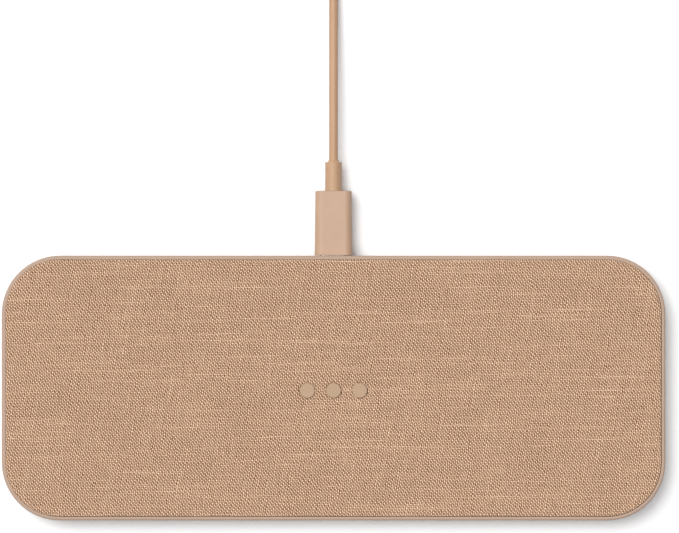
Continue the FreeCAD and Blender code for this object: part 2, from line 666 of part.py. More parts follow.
def make_board():
    """Circuit board with its screw holes and the slots for the port's legs."""
    body = new_body("circuit_board")
    outline = sketch_on(body, "XY_Plane", "board_outline", "board_bottom_z")
    middle = "( board_front_y + board_back_y ) / 2"
    rounded_rectangle(outline, "board", "board_length", "board_back_y - board_front_y", "board_corner",
                      ("0", middle))
    extrude(body, "Pad", outline, "board_thick")
    holes = sketch_on(body, "XY_Plane", "board_holes", "board_bottom_z")
    circles(holes, "hole", "screw_shank + shank_clearance", board_screw_places())
    extrude(body, "Pocket", holes, "board_thick", reverse=True)
    for i, (x, y) in enumerate(leg_places()):
        slot = sketch_on(body, "XY_Plane", "leg_slot_%d" % i, "board_bottom_z")
        rounded_rectangle(slot, "slot", "port_wall + leg_room", "leg_width + 2 * leg_room", "leg_room",
                          (x, y))
        extrude(body, "Pocket", slot, "board_thick", reverse=True)
    keep(body, "circuit_board")


def leg_places():
    """Centres of the receptacle's four board legs."""
    x = "( port_width + port_wall ) / 2"
    rows = ("port_mouth_y - 3.2", "port_mouth_y - port_depth + 0.9")
    return [(sign + x, y) for sign in ("", "0 - ") for y in rows]


def make_board_parts():
    """Parts soldered on the board, each kind in one node."""
    for label, (length, width, height, places) in BOARD_PARTS.items():
        shape = block(label + "_shape", str(length), str(width), str(height), "0", "0", "0")
        parts = []
        for i, (x, y) in enumerate(places):
            link = doc.addObject("App::Link", "%s_%d" % (label, i))
            link.LinkedObject = shape
            bind(link, Placement__Base__z=cells(BOARD_TOP))
            link.Placement.Base = Vector(x - length / 2, y - width / 2, 0)
            parts.append(link)
        group(label, parts)


def make_light_pipes():
    """Clear rods from the indicator lights to the front wall."""
    rods = []
    for side in (-1, 1):
        rod = doc.addObject("Part::Cylinder", "light_pipe_%s" % ("left" if side < 0 else "right"))
        rod.Placement = FreeCAD.Placement(Vector(), FreeCAD.Rotation(Vector(1, 0, 0), -90))
        bind(rod, Radius=cells("light_diameter / 2"))
        bind(rod, Height=cells("pad_depth / 2 + board_front_y - light_gap"))
        bind(rod, Placement__Base__x=cells("%d * light_x" % side))
        bind(rod, Placement__Base__y=cells("0 - pad_depth / 2"), Placement__Base__z=cells("light_z"))
        rods.append(rod)
    group("light_pipes", rods)


# ---- USB-C port and plugs --------------------------------------------------

def make_receptacle():
    """Steel shell with board legs, and the moulded tongue with its contacts."""
    shell = new_body("port_shell")
    outer = sketch_on(shell, "XZ_Plane", "port_outer", "0 - port_mouth_y")
    stadium(outer, "outer", "port_width + 2 * port_wall", "port_height + 2 * port_wall", "port_z")
    extrude(shell, "Pad", outer, "port_depth")
    bore = sketch_on(shell, "XZ_Plane", "port_bore", "0 - port_mouth_y")
    stadium(bore, "bore", "port_width", "port_height", "port_z")
    extrude(shell, "Pocket", bore, "port_depth", reverse=True)
    for i, (x, y) in enumerate(leg_places()):
        leg = sketch_on(shell, "XY_Plane", "port_leg_%d" % i, "port_z")
        rounded_rectangle(leg, "leg", "port_wall", "leg_width", "port_wall / 6", (x, y))
        extrude(shell, "Pad", leg, "port_z - board_bottom_z - leg_room / 2", reverse=True)
    keep(shell, "port_shell")
    insert = new_body("port_tongue")
    front = "port_depth - port_mouth_y - port_back"
    back = sketch_on(insert, "XZ_Plane", "port_back_section", front)
    stadium(back, "back", "port_width", "port_height", "port_z")
    extrude(insert, "Pad", back, "port_back")
    tongue = sketch_on(insert, "XZ_Plane", "tongue_section", front)
    rounded_rectangle(tongue, "tongue", "tongue_width", "tongue_thick", "tongue_thick / 7", ("0", "port_z"))
    extrude(insert, "Pad", tongue, "port_depth - port_back - tongue_setback", reverse=True)
    keep(insert, "port_tongue")


def place(item, pose):
    """Move a finished piece of a plug to its pose in the pad's frame."""
    item.Placement = pose
    return item


def make_plug(prefix, pose):
    """USB-C plug: shell, insulator, contacts, inner board, overmould, strain relief.

    In its own frame the plug points to -Y and the overmould's front is at y = 0.
    """
    shell = new_body(prefix + "_shell")
    outer = sketch_on(shell, "XZ_Plane", prefix + "_shell_outer", "plug_reach")
    stadium(outer, "outer", "plug_width", "plug_height", "0")
    extrude(shell, "Pad", outer, "plug_reach + plug_root", reverse=True)
    bore = sketch_on(shell, "XZ_Plane", prefix + "_shell_bore", "plug_reach")
    stadium(bore, "bore", "plug_width - 2 * plug_wall", "plug_height - 2 * plug_wall", "0")
    extrude(shell, "Pocket", bore, "plug_reach + plug_root")
    keep(place(shell, pose), prefix + "_shell")
    insulator = new_body(prefix + "_insulator")
    core = sketch_on(insulator, "XZ_Plane", prefix + "_core", "plug_reach - core_setback")
    stadium(core, "core", "plug_width - 2 * plug_wall", "plug_height - 2 * plug_wall", "0")
    extrude(insulator, "Pad", core, "plug_reach + plug_root - core_setback", reverse=True)
    slot = sketch_on(insulator, "XZ_Plane", prefix + "_slot", "plug_reach - core_setback")
    rounded_rectangle(slot, "slot", "tongue_width + slot_room", "tongue_thick + slot_room", "slot_room / 2")
    extrude(insulator, "Pocket", slot, "port_depth - port_back - tongue_setback + core_setback")
    keep(place(insulator, pose), prefix + "_insulator")
    grip = new_body(prefix + "_overmould")
    section = sketch_on(grip, "XZ_Plane", prefix + "_grip_section")
    rounded_rectangle(section, "grip", "grip_width", "grip_height", "grip_corner")
    body_of_grip = extrude(grip, "Pad", section, "grip_length", reverse=True)
    bind(body_of_grip, TaperAngle=cells("0 - grip_taper"))
    doc.recompute()
    root = sketch_on(grip, "XZ_Plane", prefix + "_grip_root")
    stadium(root, "root", "plug_width", "plug_height", "0")
    extrude(grip, "Pocket", root, "plug_root")
    card = sketch_on(grip, "XZ_Plane", prefix + "_card_space", "0 - plug_root")
    rounded_rectangle(card, "card", "card_width + 2 * card_room", "card_thick + 2 * card_depth_room",
                      "card_room")
    extrude(grip, "Pocket", card, "card_length + 2 * card_room")
    round_edges(grip, "grip_front_round", lambda e: level_y(e, 0.0) and reaches_side(e), prefix + "_")
    round_edges(grip, "grip_back_round", lambda e: level_y(e, size("grip_length")), prefix + "_")
    keep(place(grip, pose), prefix + "_overmould")
    board = block(prefix + "_board", "card_width", "card_length", "card_thick",
                  "0", "plug_root + card_length / 2", "0 - card_thick / 2")
    holder = group(prefix + "_card", [board])
    place(holder, pose)
    relief = new_body(prefix + "_strain_relief")
    sleeve = sketch_on(relief, "XZ_Plane", prefix + "_sleeve", "0 - grip_length")
    circles(sleeve, "sleeve", "relief_diameter", [("0", "0")])
    extrude(relief, "Pad", sleeve, "relief_length - nose_length", reverse=True)
    shoulder = size("grip_length") + size("relief_length") - size("nose_length")
    round_edges(relief, "relief_round", lambda e: level_y(e, shoulder), prefix + "_")
    nose = sketch_on(relief, "XZ_Plane", prefix + "_nose", "nose_length - grip_length - relief_length")
    circles(nose, "nose", "nose_diameter", [("0", "0")])
    cone = extrude(relief, "Pad", nose, "nose_length", reverse=True)
    bind(cone, TaperAngle=cells("0 - nose_taper"))
    doc.recompute()
    keep(place(relief, pose), prefix + "_strain_relief")


def level_y(edge, y):
    """True for an edge that lies in the plane at y of the plug's own frame."""
    box = edge.BoundBox
    return abs(box.YMin - y) < 1e-4 and abs(box.YMax - y) < 1e-4


def reaches_side(edge):
    """True for an edge on the outside of the overmould's section."""
    box = edge.BoundBox
    wide = max(abs(box.XMin), abs(box.XMax)) > size("grip_width") / 2 - 0.01
    high = max(abs(box.ZMin), abs(box.ZMax)) > size("grip_height") / 2 - 0.01
    return wide or high


# ---- lead ------------------------------------------------------------------

def make_lead():
    """Straight run from the plug, the coil of the spare length, its tail and tie."""
    radius = size("cable_diameter") / 2
    low_z = size("tie_thick") + radius
    low_outer = size("coil_middle") + 2.5 * size("turn_pitch")
    surface = low_outer + radius
    centre = Vector(-low_outer, size("coil_centre_y"), 0)
    back_y = size("pad_depth") / 2 + size("grip_gap") + size("grip_length") + size("relief_length")
    meets_coil = centre.y - math.sqrt(surface ** 2 - low_outer ** 2)
    drop = size("port_z") - low_z
    run = [Vector(0, back_y + along, size("port_z") - share * drop) for along, share in RUN_SAG]
    run.append(Vector(0, meets_coil, low_z))
    keep(tube("cable_run", run, size("cable_diameter"), report=True), "cable_run")

    ring = new_body("cable_coil")
    section = sketch_on(ring, "XZ_Plane", "coil_section")
    middle_z = "tie_thick + %s / 2" % COIL_HEIGHT
    rounded_rectangle(section, "section", COIL_WIDTH, COIL_HEIGHT, "cable_diameter / 2",
                      ("coil_middle", middle_z))
    turned = ring.newObject("PartDesign::Revolution", "coil_turned")
    turned.Profile = section
    turned.ReferenceAxis = (section, ["V_Axis"])
    turned.Angle = 360
    doc.recompute()
    ring.Placement.Base = centre
    keep(ring, "cable_coil")

    tie = new_body("cable_tie")
    for kind, grow in (("Pad", "2 * tie_thick"), ("Pocket", "0")):
        band = sketch_on(tie, "XZ_Plane", "tie_" + kind.lower(), "0 - tie_width / 2")
        rounded_rectangle(band, "band", "%s + %s" % (COIL_WIDTH, grow), "%s + %s" % (COIL_HEIGHT, grow),
                          "( cable_diameter + %s ) / 2" % grow, ("0", middle_z))
        extrude(tie, kind, band, "tie_width", reverse=kind == "Pocket")
    tie.Placement.Base = centre + Vector(-size("coil_middle"), 0, 0)
    keep(tie, "cable_tie")

    far_z = size("grip_height") / 2
    tail = []
    for degrees, outside, above in TAIL_WRAP:
        angle, reach = math.radians(degrees), low_outer + outside
        tail.append(centre + Vector(reach * math.cos(angle), reach * math.sin(angle), low_z + above))
    last = tail[-1]
    for (back, aside), height in zip(TAIL_STEPS, (last.z, far_z, far_z)):
        tail.append(Vector(last.x - back, last.y - aside, height))
    keep(tube("cable_tail", tail, size("cable_diameter"), report=True), "cable_tail")
    return tail


def far_plug_pose(tail):
    """Pose of the far plug, lying flat and in line with the end of the lead."""
    heading = (tail[-1] - tail[-2]).normalize()
    length = size("grip_length") + size("relief_length")
    angle = math.degrees(math.atan2(heading.y, heading.x)) + 90
    return FreeCAD.Placement(tail[-1] + heading * length, FreeCAD.Rotation(Vector(0, 0, 1), angle))


def check_all():
    """Stop unless every object recomputed and every node is a sound solid."""
    doc.recompute()
    for item in doc.Objects:
        if "Invalid" in item.State or "Error" in item.State:
            raise RuntimeError("%s is %s" % (item.Label, item.State))
    for item in nodes:
        shape = item.Shape
        if shape.isNull() or not shape.isValid() or not shape.Solids:
            raise RuntimeError(item.Label + " has no valid solid")


def main():
    """Build every node and write it as its own file."""
    fill_sheet()
    make_housing()
    make_bottom_cover()
    make_foot_sheet()
    make_screw("cover_screws", "cover_screw_length",
               [(x, y, "foot_top_z + head_recess") for x, y in screw_places()], head_up=False)
    make_linen_cover()
    make_sheet_with_studs("foam_backing", "linen_thick", PLATE_TOP, "foam_thick")
    make_sheet_with_studs("top_plate", "linen_thick", PLATE_Z, "%s - %s" % (PLATE_TOP, PLATE_Z))
    make_marker_studs()
    make_site(-1, "left")
    make_site(1, "right")
    make_board()
    make_screw("board_screws", "board_screw_length",
               [(x, y, BOARD_TOP) for x, y in board_screw_places()], head_up=True)
    make_board_parts()
    make_light_pipes()
    make_receptacle()
    front_y = size("pad_depth") / 2 + size("grip_gap")
    make_plug("plug", FreeCAD.Placement(Vector(0, front_y, size("port_z")), FreeCAD.Rotation()))
    tail = make_lead()
    make_plug("far_plug", far_plug_pose(tail))
    check_all()
    os.makedirs("parts", exist_ok=True)
    for item in nodes:
        item.Shape.exportStep("parts/%s.step" % item.Label)
    print(len(nodes), "nodes written")


main()
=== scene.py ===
"""The looks of the charging pad: linen top, smooth tan housing, silicone studs and a thin lead.

Everything is in metres, in the frame of the CAD model: +X along the pad, +Y to the back, +Z up.
"""
import math

import bmesh
import bpy
from mathutils import Matrix, Vector, noise


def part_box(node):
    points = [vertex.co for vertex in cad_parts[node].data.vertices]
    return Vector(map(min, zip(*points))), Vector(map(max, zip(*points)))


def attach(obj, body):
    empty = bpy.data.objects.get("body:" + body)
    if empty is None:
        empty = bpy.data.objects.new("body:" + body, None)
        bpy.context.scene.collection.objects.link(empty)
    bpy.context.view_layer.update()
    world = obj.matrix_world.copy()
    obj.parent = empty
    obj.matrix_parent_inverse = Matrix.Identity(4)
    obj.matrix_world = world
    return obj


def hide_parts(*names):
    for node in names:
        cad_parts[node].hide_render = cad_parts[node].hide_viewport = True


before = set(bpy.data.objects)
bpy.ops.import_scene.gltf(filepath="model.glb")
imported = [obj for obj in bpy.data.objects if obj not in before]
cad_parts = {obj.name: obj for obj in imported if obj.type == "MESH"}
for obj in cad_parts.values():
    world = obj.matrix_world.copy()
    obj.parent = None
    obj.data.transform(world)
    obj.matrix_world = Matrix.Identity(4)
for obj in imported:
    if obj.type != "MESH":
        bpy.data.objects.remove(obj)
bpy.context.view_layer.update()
MM = 0.001

# ---- camera and light -------------------------------------------------------

VIEW_WIDTH = 0.2025           # across the picture, at the height of the rim
VIEW_CENTRE = (0.00178, 0.03627)
CAMERA_HEIGHT = 1.2           # above the rim
SENSOR = 36.0                 # millimetres


def make_camera():
    """Long lens looking straight down on the pad."""
    camera = bpy.data.cameras.new("camera")
    camera.sensor_width = SENSOR
    camera.lens = SENSOR * CAMERA_HEIGHT / VIEW_WIDTH
    camera.clip_start = 0.05
    camera.clip_end = 20.0
    item = bpy.data.objects.new("camera", camera)
    item.location = (VIEW_CENTRE[0], VIEW_CENTRE[1], CAMERA_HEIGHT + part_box("housing_frame")[1].z)
    bpy.context.collection.objects.link(item)
    bpy.context.scene.camera = item


def make_sun(name, strength, elevation, azimuth, angle):
    """Large distant light; the angle is how wide it looks, in degrees."""
    light = bpy.data.lights.new(name, "SUN")
    light.energy = strength
    light.angle = math.radians(angle)
    item = bpy.data.objects.new(name, light)
    high, round_z = math.radians(elevation), math.radians(azimuth)
    toward = Vector((math.cos(high) * math.cos(round_z), math.cos(high) * math.sin(round_z), math.sin(high)))
    item.rotation_euler = toward.to_track_quat("Z", "Y").to_euler()
    bpy.context.collection.objects.link(item)


def make_light():
    """Pale surroundings, a broad light overhead and a soft key from the upper left."""
    world = bpy.data.worlds.new("surroundings")
    world.use_nodes = True
    background = world.node_tree.nodes["Background"]
    background.inputs["Color"].default_value = (0.955, 0.985, 1.03, 1.0)
    background.inputs["Strength"].default_value = 0.21
    bpy.context.scene.world = world
    make_sun("overhead", strength=1.65, elevation=88, azimuth=140, angle=56)
    make_sun("key", strength=2.62, elevation=57, azimuth=140, angle=46)


def make_floor():
    """Plain pale floor, just under what stands on it."""
    mesh = bpy.data.meshes.new("floor")
    reach = 4.0
    corners = [(-reach, -reach, 0), (reach, -reach, 0), (reach, reach, 0), (-reach, reach, 0)]
    mesh.from_pydata(corners, [], [(0, 1, 2, 3)])
    item = bpy.data.objects.new("floor", mesh)
    item.location.z = -0.05 * MM
    bpy.context.collection.objects.link(item)
    graph = Graph("floor_paper")
    graph.set(**{"Base Color": (0.88, 0.88, 0.88, 1), "Roughness": 0.9, "Specular IOR Level": 0.1})
    mesh.materials.append(graph.material)


# ---- material building ------------------------------------------------------

class Graph:
    """A node material with short calls for the nodes that this scene uses."""

    def __init__(self, name):
        self.material = bpy.data.materials.new(name)
        self.material.use_nodes = True
        self.nodes = self.material.node_tree.nodes
        self.links = self.material.node_tree.links
        self.shader = self.nodes["Principled BSDF"]
        self._position = None

    def set(self, **values):
        """Plain values on the shader's own sockets."""
        for name, value in values.items():
            self.shader.inputs[name].default_value = value

    def feed(self, socket, value):
        """Set a socket to a number or a colour, or link another node's output to it."""
        if isinstance(value, (int, float, tuple)):
            socket.default_value = value
        else:
            self.links.new(value, socket)

    def math(self, operation, a, b=0.0, c=0.0):
        """Math node on numbers or outputs."""
        node = self.nodes.new("ShaderNodeMath")
        node.operation = operation
        for socket, value in zip(node.inputs, (a, b, c)):
            self.feed(socket, value)
        return node.outputs[0]

    def add(self, first, *others):
        """Sum of numbers or outputs."""
        for value in others:
            first = self.math("ADD", first, value)
        return first

    def minus(self, a, b):
        """Difference of two numbers or outputs."""
        return self.math("SUBTRACT", a, b)

    def times(self, a, b):
        """Product of two numbers or outputs."""
        return self.math("MULTIPLY", a, b)

    def wave(self, position):
        """Sine that is above zero from an even number to an odd one, and below zero to the next."""
        return self.math("SINE", self.times(position, math.pi))

    def position(self):
        """Object coordinates in millimetres."""
        if self._position is None:
            coordinates = self.nodes.new("ShaderNodeTexCoord")
            scale = self.nodes.new("ShaderNodeVectorMath")
            scale.operation = "SCALE"
            scale.inputs["Scale"].default_value = 1000.0
            self.links.new(coordinates.outputs["Object"], scale.inputs[0])
            self._position = scale.outputs[0]
        return self._position

    def split(self, vector):
        """The X, Y and Z of a vector."""
        node = self.nodes.new("ShaderNodeSeparateXYZ")
        self.links.new(vector, node.inputs[0])
        return node.outputs

    def join(self, x, y, z=0.0):
        """Vector from X, Y and Z."""
        node = self.nodes.new("ShaderNodeCombineXYZ")
        for socket, value in zip(node.inputs, (x, y, z)):
            self.feed(socket, value)
        return node.outputs[0]

    def noise(self, vector, scale, detail=2.0, roughness=0.5):
        """Noise of about 0 to 1; the scale is per unit of the vector."""
        node = self.nodes.new("ShaderNodeTexNoise")
        self.links.new(vector, node.inputs["Vector"])
        node.inputs["Scale"].default_value = scale
        node.inputs["Detail"].default_value = detail
        node.inputs["Roughness"].default_value = roughness
        return node.outputs["Fac"]

    def cell_random(self, vector):
        """One random number per whole-number cell."""
        node = self.nodes.new("ShaderNodeTexWhiteNoise")
        node.noise_dimensions = "3D"
        self.links.new(vector, node.inputs["Vector"])
        return node.outputs["Value"]

    def ramp(self, factor, stops):
        """Colour ramp through (place, colour) stops."""
        node = self.nodes.new("ShaderNodeValToRGB")
        self.links.new(factor, node.inputs[0])
        elements = node.color_ramp.elements
        while len(elements) < len(stops):
            elements.new(0.5)
        for element, (place, colour) in zip(elements, stops):
            element.position = place
            element.color = (*colour, 1.0)
        return node.outputs[0]

    def spread(self, factor, low, high):
        """Map 0..1 to low..high."""
        node = self.nodes.new("ShaderNodeMapRange")
        self.links.new(factor, node.inputs["Value"])
        node.inputs["To Min"].default_value = low
        node.inputs["To Max"].default_value = high
        return node.outputs[0]

    def scale_colour(self, colour, factor):
        """Colour times a number."""
        node = self.nodes.new("ShaderNodeVectorMath")
        node.operation = "SCALE"
        self.feed(node.inputs[0], colour)
        self.feed(node.inputs["Scale"], factor)
        return node.outputs[0]

    def colour(self, value):
        """Base colour of the surface."""
        self.feed(self.shader.inputs["Base Color"], value)

    def rough(self, value):
        """Roughness of the surface."""
        self.feed(self.shader.inputs["Roughness"], value)

    def bump(self, height, depth, strength=1.0):
        """Bump of a height of 0..1 that is `depth` metres deep."""
        node = self.nodes.new("ShaderNodeBump")
        node.inputs["Strength"].default_value = strength
        node.inputs["Distance"].default_value = depth
        self.links.new(height, node.inputs["Height"])
        self.links.new(node.outputs[0], self.shader.inputs["Normal"])


def moulded(name, colour, roughness, grain=6.0, depth=0.00002, vary=0.06, specular=0.4):
    """Moulded plastic, silicone or elastomer: faint mottling, fine grain, uneven gloss."""
    graph = Graph(name)
    graph.set(**{"Specular IOR Level": specular})
    where = graph.position()
    patches = graph.noise(where, 0.12, 3.0)
    grains = graph.noise(where, grain, 3.0, 0.6)
    shade = graph.spread(patches, 1.0 - vary, 1.0 + vary)
    fine = graph.spread(grains, 1.0 - vary * 0.6, 1.0 + vary * 0.6)
    graph.colour(graph.scale_colour(colour, graph.times(shade, fine)))
    graph.rough(graph.spread(graph.noise(where, 0.5, 2.0), roughness - 0.06, roughness + 0.06))
    graph.bump(grains, depth)
    return graph.material


def metal(name, colour, roughness, stretch=(1.0, 1.0, 12.0)):
    """Rolled or drawn metal: fine streaks along one direction."""
    graph = Graph(name)
    graph.set(Metallic=1.0)
    x, y, z = graph.split(graph.position())
    along = graph.join(graph.times(x, stretch[0]), graph.times(y, stretch[1]), graph.times(z, stretch[2]))
    streaks = graph.noise(along, 2.0, 4.0, 0.7)
    graph.colour(graph.scale_colour(colour, graph.spread(streaks, 0.88, 1.08)))
    graph.rough(graph.spread(streaks, roughness - 0.08, roughness + 0.12))
    graph.bump(streaks, 0.000005)
    return graph.material


# ---- linen ------------------------------------------------------------------

WARP = (1.843, -0.311)        # warp threads per millimetre along X and Y
WEFT = (-0.037, 2.058)        # weft threads per millimetre along X and Y
SLOW_WANDER = (0.22, 0.7)     # bends per millimetre, and how many threads far they go
QUICK_WANDER = (0.75, 0.2)
UNEVEN_SPACING = 0.35         # in threads
YARN = (0.56, 0.88)           # height of thin and of thick yarn
WARP_STRETCH = 0.045          # changes of a yarn's thickness, per crossing
WEFT_STRETCH = 0.018
WARP_SLUB = 0.58              # thickness, from 0 to 1, above which the yarn is a slub
WEFT_SLUB = 0.56
CRIMP = 0.42                  # how far a thread rises and dips as it goes over and under
MEAN_SECTION = 0.64           # mean height of a round section that is 1 in its middle
# how much each part of the relief lightens the cloth: painted highlight on the raised threads and painted
# shade between them, a painted highlight along slanting rows, and painted sheen where the warp is on top
HEIGHT_SHADING, WARP_RIB_SHADING, WEFT_RIB_SHADING, ROW_HIGHLIGHT, OVER_SHEEN = 0.68, 0.50, 0.24, 0.16, 0.20
# how much each kind of unevenness changes the tone, up or down
PATCH_TONE, CELL_TONE, HAIR_TONE = 0.03, 0.06, 0.16
CONTRAST = 1.10
TONE_SHIFT = 0.064
SEAM_SHADE = 0.35              # painted shade: how much darker the cloth is where it has turned down into the seam
# colours of the cloth, from painted shade in the hollows of the weave up to painted highlight on the thread
# tops
LINEN_STOPS = [
    (0.00, (0.060, 0.021, 0.007)),
    (0.25, (0.180, 0.083, 0.039)),
    (0.50, (0.425, 0.246, 0.145)),
    (0.75, (0.600, 0.390, 0.260)),
    (1.00, (0.730, 0.540, 0.390)),
]


def thread_noise(graph, number, along, stretch):
    """Smooth variation along a thread, different for each thread number."""
    spot = graph.join(graph.times(number, 7.31), graph.times(along, stretch), 0.5)
    return graph.noise(spot, 1.0, 2.0)


def thread_places(graph, x, y):
    """Place on the cloth in warp and in weft threads, which wander and are spaced unevenly."""
    flat = graph.join(x, y)

    def count(rates):
        return graph.add(graph.times(x, rates[0]), graph.times(y, rates[1]))

    def wander(bends, reach):
        """Two independent shifts over the cloth."""
        node = graph.nodes.new("ShaderNodeTexNoise")
        graph.links.new(flat, node.inputs["Vector"])
        node.inputs["Scale"].default_value = bends
        node.inputs["Detail"].default_value = 1.0
        return [graph.spread(shift, -reach, reach) for shift in graph.split(node.outputs["Color"])[:2]]

    def uneven(own, other, slow, quick):
        spacing = graph.noise(graph.join(graph.times(own, 0.45), graph.times(other, 0.06)), 1.0, 1.0)
        return graph.add(own, slow, quick, graph.spread(spacing, -UNEVEN_SPACING, UNEVEN_SPACING))

    warp, weft = count(WARP), count(WEFT)
    shifts = list(zip(wander(*SLOW_WANDER), wander(*QUICK_WANDER)))
    return uneven(warp, weft, *shifts[0]), uneven(weft, warp, *shifts[1])


def linen_material():
    """Plain weave of slubby yarn, drawn from the cloth's own flat coordinates, with the light and shade of
    its relief painted into its colour.
    """
    graph = Graph("linen_weave")
    graph.set(**{"Roughness": 0.85, "Specular IOR Level": 0.15, "Sheen Weight": 0.12, "Sheen Roughness": 0.5})
    cloth = graph.nodes.new("ShaderNodeAttribute")
    cloth.attribute_name = "cloth"
    x, y, turned = graph.split(cloth.outputs["Vector"])
    flat = graph.join(x, y)
    warp, weft = thread_places(graph, x, y)
    warp_number, weft_number = graph.math("FLOOR", warp), graph.math("FLOOR", weft)

    def side(number):
        """+1 for even threads and -1 for odd ones."""
        return graph.minus(1.0, graph.times(graph.math("FLOORED_MODULO", number, 2.0), 2.0))

    def rounded(place):
        """Round section of a thread: 1 along its middle, 0 at its edges."""
        return graph.math("ABSOLUTE", graph.wave(place))

    def height(place, rise, thick):
        """Height of a thread's surface: its round section, and the weave that lifts it."""
        return graph.add(graph.times(rounded(place), graph.spread(thick, *YARN)), graph.times(rise, CRIMP))

    def rib(place, tone_and_shading):
        """Painted shading of a round thread: lighter along its middle and darker at its edges."""
        return graph.times(graph.minus(rounded(place), MEAN_SECTION), tone_and_shading)

    def slub(thick, limit):
        """How much thicker than a limit the yarn is."""
        return graph.math("MAXIMUM", graph.minus(thick, limit), 0.0)

    # relief of the weave
    warp_rise = graph.times(graph.wave(weft), side(warp_number))
    weft_rise = graph.times(graph.times(graph.wave(warp), side(weft_number)), -1.0)
    warp_thick = thread_noise(graph, warp_number, weft, WARP_STRETCH)
    weft_thick = thread_noise(graph, weft_number, warp, WEFT_STRETCH)
    warp_height = height(warp, warp_rise, warp_thick)
    weft_height = height(weft, weft_rise, weft_thick)
    top = graph.math("MAXIMUM", warp_height, weft_height)
    on_warp = graph.math("GREATER_THAN", warp_height, weft_height)

    # painted highlight that joins the crossings into slanting rows, where the twist of the yarn would catch
    # the light, and painted sheen where the warp lies on top
    row = graph.math("COSINE", graph.times(graph.minus(graph.add(warp, weft), 1.0), math.pi))
    over = graph.times(graph.minus(warp_rise, weft_rise), 0.5)
    row_and_over_sheen = graph.add(graph.times(row, ROW_HIGHLIGHT), graph.times(over, OVER_SHEEN))
    rib_shading = graph.add(rib(warp, WARP_RIB_SHADING), rib(weft, WEFT_RIB_SHADING))

    # slubs, patches, single crossings and hairs
    slubs = graph.add(graph.times(slub(warp_thick, WARP_SLUB), on_warp),
                      graph.times(slub(weft_thick, WEFT_SLUB), graph.minus(1.0, on_warp)))
    patches = graph.spread(graph.noise(flat, 0.055, 3.0), -PATCH_TONE, PATCH_TONE)
    cells = graph.spread(graph.cell_random(graph.join(warp_number, weft_number)), -CELL_TONE, CELL_TONE)
    hairs = graph.spread(graph.noise(flat, 3.2, 3.0, 0.7), -HAIR_TONE, HAIR_TONE)

    # painted highlight and shade of the relief, together with the yarn's own slubs and random tone
    tone_and_shading = graph.add(graph.times(top, HEIGHT_SHADING), rib_shading, row_and_over_sheen, slubs, patches, cells, hairs)
    tone_and_shading = graph.minus(graph.times(tone_and_shading, CONTRAST), TONE_SHIFT)
    # painted shade where the cloth turns down into the seam
    tone_and_shading = graph.minus(tone_and_shading, graph.times(turned, SEAM_SHADE))
    graph.colour(graph.ramp(tone_and_shading, LINEN_STOPS))
    graph.bump(top, 0.00012, 0.8)
    return graph.material


# ---- shapes -----------------------------------------------------------------

def rounded_ring(half_x, half_y, radius, z, counts):
    """Points round a rounded rectangle, the same number whatever its size."""
    along_x, along_y, arc = counts
    points = []
    corners = [(1, 1, 0, along_x), (-1, 1, 90, along_y), (-1, -1, 180, along_x), (1, -1, 270, along_y)]
    for index, (sx, sy, start, steps) in enumerate(corners):
        centre = Vector((sx * (half_x - radius), sy * (half_y - radius), z))
        for i in range(arc):
            angle = math.radians(start + 90 * i / arc)
            points.append(centre + radius * Vector((math.cos(angle), math.sin(angle), 0)))
        angle = math.radians(start + 90)
        arm = radius * Vector((math.cos(angle), math.sin(angle), 0))
        ahead = corners[(index + 1) % 4]
        following = Vector((ahead[0] * (half_x - radius), ahead[1] * (half_y - radius), z))
        for i in range(steps):
            points.append((centre + arm).lerp(following + arm, i / steps))
    return points


def bridge(mesh, first, second):
    """Quads between two rings of bmesh vertices."""
    for i in range(len(first)):
        following = (i + 1) % len(first)
        mesh.faces.new((first[i], first[following], second[following], second[i]))


def grid(mesh, half_x, half_y, z, counts):
    """Flat grid that closes the innermost ring."""
    along_x, along_y, _ = counts
    rows = [[mesh.verts.new((half_x * (2 * i / along_x - 1), half_y * (2 * j / along_y - 1), z))
             for i in range(along_x + 1)] for j in range(along_y + 1)]
    for low, high in zip(rows, rows[1:]):
        for i in range(along_x):
            mesh.faces.new((low[i], low[i + 1], high[i + 1], high[i]))


def slab(half_x, half_y, radius, profile, step, caps):
    """Mesh of rings that follow a profile of (inset, z); caps close its two ends with grids."""
    inner_x, inner_y = half_x - radius, half_y - radius
    arc = max(6, round(radius * math.pi / 2 / step))
    counts = (round(2 * inner_x / step), round(2 * inner_y / step), arc)
    mesh = bmesh.new()
    rings = []
    for inset, z in profile:
        ring = rounded_ring(half_x - inset, half_y - inset, max(radius - inset, 0.0), z, counts)
        rings.append([mesh.verts.new(point) for point in ring])
    for first, second in zip(rings, rings[1:]):
        bridge(mesh, first, second)
    for cap in caps:
        grid(mesh, inner_x, inner_y, profile[cap][1], counts)
    bmesh.ops.remove_doubles(mesh, verts=mesh.verts, dist=1e-6)
    bmesh.ops.recalc_face_normals(mesh, faces=mesh.faces)
    return mesh


def steps_to(inset, z, end, step):
    """Rings at a level from an inset to another, about a step apart."""
    count = max(1, round(abs(end - inset) / step))
    return [(inset + (end - inset) * i / count, z) for i in range(1, count + 1)]


def roll(inset, z, radius, start, end, count=4):
    """Round stretch of a profile; angles are from the outward direction, in degrees."""
    points = []
    for i in range(count + 1):
        angle = math.radians(start + (end - start) * i / count)
        points.append((inset - radius * math.cos(angle), z + radius * math.sin(angle)))
    return points


def object_from(mesh, name, smooth_angle=40):
    """New object from a bmesh, with smooth shading up to an angle."""
    data = bpy.data.meshes.new(name)
    mesh.to_mesh(data)
    mesh.free()
    data.shade_smooth()
    data.set_sharp_from_angle(angle=math.radians(smooth_angle))
    item = bpy.data.objects.new(name, data)
    bpy.context.collection.objects.link(item)
    return item


def apply_modifiers(item):
    """Turn the modified mesh into the object's own."""
    bpy.context.view_layer.update()
    made = bpy.data.meshes.new_from_object(item.evaluated_get(bpy.context.evaluated_depsgraph_get()))
    item.modifiers.clear()
    item.data = made


def put(item, body, slot, material, *nodes):
    """Give a new piece its body and material, in place of CAD nodes."""
    item.data.materials.clear()
    item.data.materials.append(material)
    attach(item, body)
    if nodes:
        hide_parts(*nodes)
    return item


